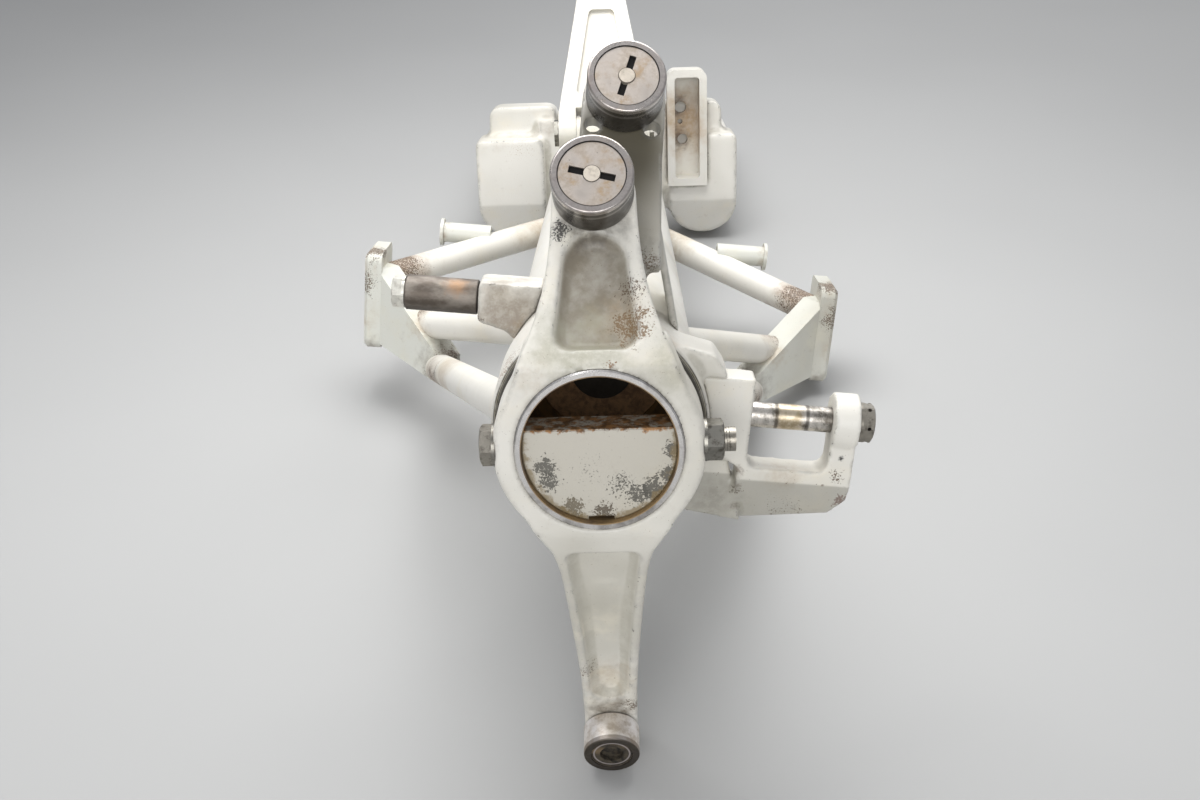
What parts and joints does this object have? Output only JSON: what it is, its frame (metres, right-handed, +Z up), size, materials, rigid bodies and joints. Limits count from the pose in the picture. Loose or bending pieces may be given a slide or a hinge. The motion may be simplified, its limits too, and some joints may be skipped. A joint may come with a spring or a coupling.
{
  "type": "nose gear strut assembly",
  "caption": "Light-aircraft nose gear strut: oleo leg in a tube truss trunnion, with steering arm, cam rollers, uplock pin, torque links and wheel fork, laid on the bench.",
  "frame": {"origin": "middle of the trunnion axis, between the two side plates' pivot bores", "axes": "+Z up from the bench, +X to the right seen from the steering end, +Y along the strut towards the fork"},
  "size_m": [0.3147, 0.8103, 0.3091],
  "materials": {
    "steel_bright": "worn machined steel",
    "steel_roller": "worn bearing steel",
    "steel_plated": "dull plated hardware",
    "steel_rusty": "rusted steel",
    "chrome": "polished hard chrome",
    "paint_cream": "aged cream enamel, chipped",
    "paint_green_grey": "aged grey-green enamel",
    "aluminium": "machined aluminium",
    "bronze": "bearing bronze",
    "rubber": "black rubber",
    "brass": "dull brass"
  },
  "bodies": {
    "trunnion": {"housing_tube": "paint_cream", "upper_collar": "paint_cream", "upper_steering_bush": "bronze", "lower_steering_bush": "bronze", "thrust_washer": "paint_cream", "guide_arm": "paint_cream", "guide_roller_stud": "steel_roller", "guide_roller_lube_plug": "brass", "guide_roller_nut": "steel_plated", "uplock_lug": "paint_cream", "uplock_bolt": "steel_plated", "clevis_lug": "paint_cream", "clevis_bolt": "steel_plated", "clevis_spacers": "steel_plated", "pivot_bushes": "bronze", "rear_stubs": "paint_green_grey", "left_side_plate": "paint_green_grey", "left_gusset": "paint_green_grey", "left_upper_tube": "paint_green_grey", "left_lower_tube": "paint_green_grey", "left_diagonal_tube": "paint_green_grey", "right_side_plate": "paint_green_grey", "right_gusset": "paint_green_grey", "right_upper_tube": "paint_green_grey", "right_lower_tube": "paint_green_grey", "right_diagonal_tube": "paint_green_grey"},
    "steering": {"barrel_tube": "steel_bright", "steering_arm": "paint_cream", "end_plug": "paint_cream", "cross_bolt": "steel_plated", "cross_bolt_washers": "steel_plated", "cross_bolt_nut": "steel_plated", "steer_roller_stud": "steel_roller", "steer_roller_lube_plug": "brass", "lower_roller_stud": "steel_rusty", "barrel_bulkhead": "aluminium", "standpipe": "aluminium", "gland_bearing": "aluminium", "gland_nut": "aluminium", "wiper_ring": "rubber", "torque_collar": "paint_cream", "upper_link_pin": "steel_plated"},
    "piston": {"piston_tube": "chrome", "piston_head": "bronze", "piston_seal": "rubber", "fork": "paint_cream", "fork_bolt": "steel_plated", "fork_bracket": "paint_cream", "axle_bushes": "bronze", "lower_link_pin": "steel_plated"},
    "upper_link": {"upper_link": "paint_cream", "knee_bolt": "steel_plated"},
    "lower_link": {"lower_link": "paint_cream"},
    "steer_roller": {"steer_roller_ring": "steel_roller", "steer_roller_needles": "steel_bright"},
    "guide_roller": {"guide_roller_ring": "steel_roller", "guide_roller_needles": "steel_bright"},
    "lower_roller": {"lower_roller_ring": "steel_roller"},
    "uplock_roller": {"uplock_sleeve": "steel_rusty"}
  },
  "joints": [
    {"name": "steering", "type": "hinge", "parent": "trunnion", "child": "steering", "pos_m": [0.00599, -0.37838, 0.13519], "axis": [0, -0.979, 0.204], "range_deg": [-24.2, 11.8]},
    {"name": "strut_slide", "type": "slide", "parent": "steering", "child": "piston", "axis": [0, -0.979, 0.204], "range_m": [-0.035, 0.035]},
    {"name": "upper_link_hinge", "type": "hinge", "parent": "steering", "child": "upper_link", "pos_m": [0.00599, 0.13053, 0.08228], "axis": [1, 0, 0], "range_deg": [-9.5, 9.5]},
    {"name": "lower_link_hinge", "type": "hinge", "parent": "piston", "child": "lower_link", "pos_m": [0.00599, 0.24898, 0.0576], "axis": [1, 0, 0], "range_deg": [-9.5, 9.5]},
    {"name": "steer_roller_spin", "type": "hinge", "parent": "steering", "child": "steer_roller", "pos_m": [0.00599, -0.31708, 0.21466], "axis": [0, -0.71, 0.7043], "continuous": true},
    {"name": "lower_roller_spin", "type": "hinge", "parent": "steering", "child": "lower_roller", "pos_m": [0.00599, -0.35257, -0.03362], "axis": [0, -0.9841, -0.1776], "continuous": true},
    {"name": "guide_roller_spin", "type": "hinge", "parent": "trunnion", "child": "guide_roller", "pos_m": [0.01917, -0.26749, 0.23598], "axis": [0.0601, -0.7007, 0.7109], "continuous": true},
    {"name": "uplock_roller_spin", "type": "hinge", "parent": "trunnion", "child": "uplock_roller", "pos_m": [-0.06224, -0.2775, 0.1536], "axis": [0.9942, -0.022, -0.1057], "continuous": true}
  ],
  "couplings": [
    {"joint": "upper_link_hinge", "follows": "strut_slide", "rad_per_m": 4.3524},
    {"joint": "lower_link_hinge", "follows": "strut_slide", "rad_per_m": -4.3524}
  ]
}
